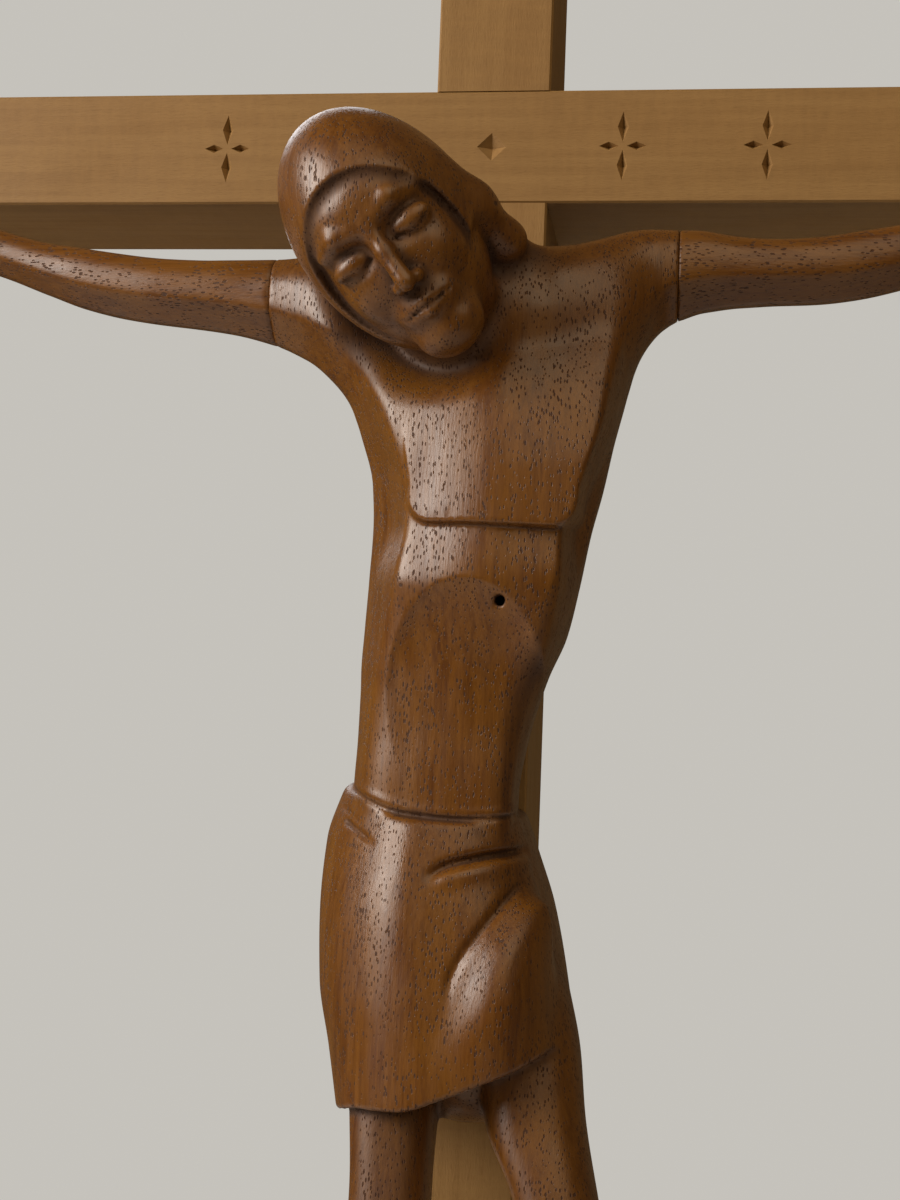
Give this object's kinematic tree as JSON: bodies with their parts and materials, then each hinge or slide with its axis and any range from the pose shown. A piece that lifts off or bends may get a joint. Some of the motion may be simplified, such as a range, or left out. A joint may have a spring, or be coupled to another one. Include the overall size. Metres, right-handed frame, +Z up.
{
  "type": "wall crucifix",
  "caption": "Wall-hung crucifix: a lap-jointed light wood cross with a dark carved wooden figure, arms dowelled on, and a hinged ring hanger let into the back.",
  "frame": {"origin": "on the wall plane behind the crossing, in the middle of the post's back face, at half the height of the crossbar", "axes": "+X to a viewer's right along the crossbar, +Y into the wall, out of the back face, +Z up along the post"},
  "size_m": [0.34, 0.0834, 0.5],
  "materials": {
    "cross_wood": "satin waxed light fruitwood with fine flecks",
    "figure_wood": "satin waxed reddish-brown hardwood with open pores",
    "dowel_wood": "plain turned beech",
    "brass": "dulled brass",
    "steel": "zinc-plated"
  },
  "bodies": {
    "cross": {"post": "cross_wood", "crossbar": "cross_wood", "corpus_body": "figure_wood", "right_arm": "figure_wood", "left_arm": "figure_wood", "right_arm_dowel": "dowel_wood", "left_arm_dowel": "dowel_wood", "hand_nails": "brass", "foot_nail": "brass", "corpus_screws": "steel", "hanger_strap": "brass", "hanger_screw": "brass"},
    "hanger_ring": {"hanger_ring": "brass"}
  },
  "joints": [
    {"name": "ring_swing", "type": "hinge", "parent": "cross", "child": "hanger_ring", "pos_m": [0, -0.0035, 0.066], "axis": [-1, 0, 0], "range_deg": [0, 175]}
  ]
}
